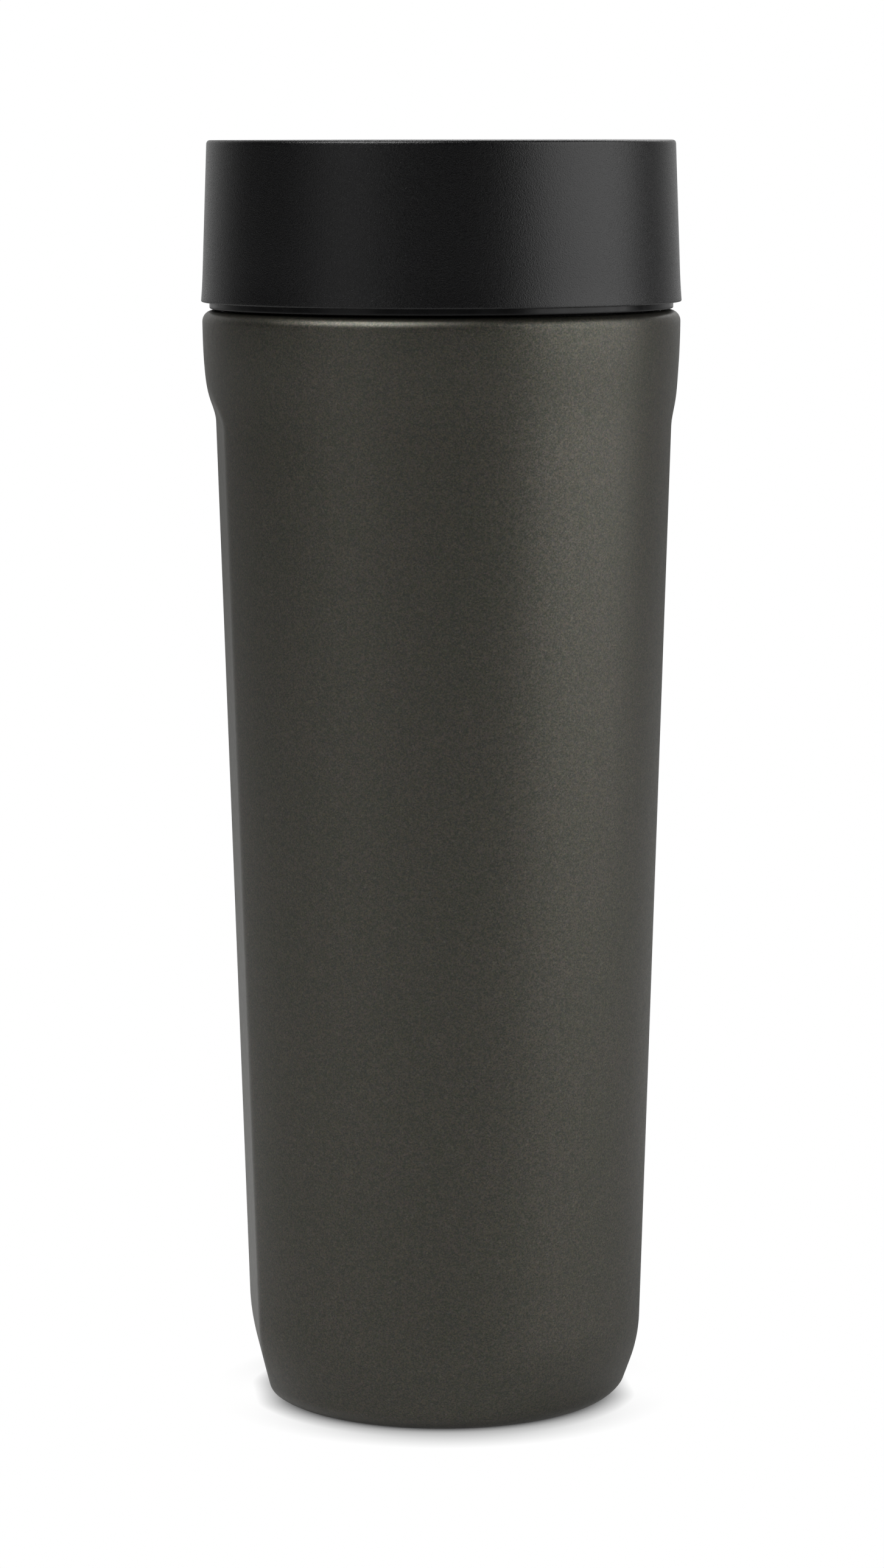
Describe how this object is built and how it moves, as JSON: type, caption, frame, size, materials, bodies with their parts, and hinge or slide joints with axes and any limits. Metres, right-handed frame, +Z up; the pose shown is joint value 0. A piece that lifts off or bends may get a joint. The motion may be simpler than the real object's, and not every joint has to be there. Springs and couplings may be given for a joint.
{
  "type": "insulated tumbler",
  "caption": "Double-wall steel tumbler with two pressed grip flats and a black screw-in sip lid whose centre button opens a ring valve.",
  "frame": {"origin": "centre of the foot ring, on the surface that the tumbler stands on", "axes": "+Z up along the tumbler's axis; the two grip flats face -X and +X"},
  "size_m": [0.083, 0.083, 0.2199],
  "materials": {
    "paint": "metallic olive-graphite powder coat with fine flake",
    "steel": "satin, electropolished inside",
    "bright_steel": "bright spring and screw steel",
    "solder_glass": "fused sealing bead, opaque",
    "getter_alloy": "sintered, dull",
    "silicone": "soft dark grey silicone",
    "black_matte": "fine texture, matte black",
    "black_gloss": "gloss black",
    "grey_plastic": "smooth dark grey",
    "white_acetal": "natural acetal"
  },
  "bodies": {
    "vessel": {"outer_shell": "paint", "inner_liner": "steel", "base_plate": "steel", "vacuum_seal": "solder_glass", "getter_pan": "steel", "getter_pellet": "getter_alloy"},
    "lid_carrier": {"lid_gasket": "silicone"},
    "lid": {"lid_shell": "black_matte", "lid_plug": "black_gloss", "shell_seal": "silicone", "hub_spider": "grey_plastic", "cam_sleeve": "white_acetal", "stem_seal": "silicone", "button_wiper": "silicone", "spring_seat": "bright_steel", "return_spring": "bright_steel"},
    "plunger": {"button_cap": "black_matte", "valve_stem": "grey_plastic", "valve_disc": "grey_plastic", "valve_seal": "silicone", "stem_screw": "bright_steel"},
    "click_rotor": {"cam_rotor": "white_acetal"}
  },
  "joints": [
    {"name": "lid_lift", "type": "slide", "parent": "vessel", "child": "lid_carrier", "axis": [0, 0, 1], "range_m": [0, 0.009]},
    {"name": "lid_turn", "type": "hinge", "parent": "lid_carrier", "child": "lid", "pos_m": [0, 0, 0.185], "axis": [0, 0, 1], "range_deg": [0, 270]},
    {"name": "button_press", "type": "slide", "parent": "lid", "child": "plunger", "axis": [0, 0, -1], "range_m": [0, 0.005], "stiffness_N_per_m": 500, "springref_m": -0.004, "deforming": ["return_spring"]},
    {"name": "cam_turn", "type": "hinge", "parent": "plunger", "child": "click_rotor", "pos_m": [0, 0, 0.2], "axis": [0, 0, 1], "range_deg": [0, 45]}
  ],
  "couplings": [
    {"joint": "lid_lift", "follows": "lid_turn", "m_per_rad": 0.0019098},
    {"joint": "cam_turn", "follows": "button_press", "rad_per_m": 157.07}
  ]
}
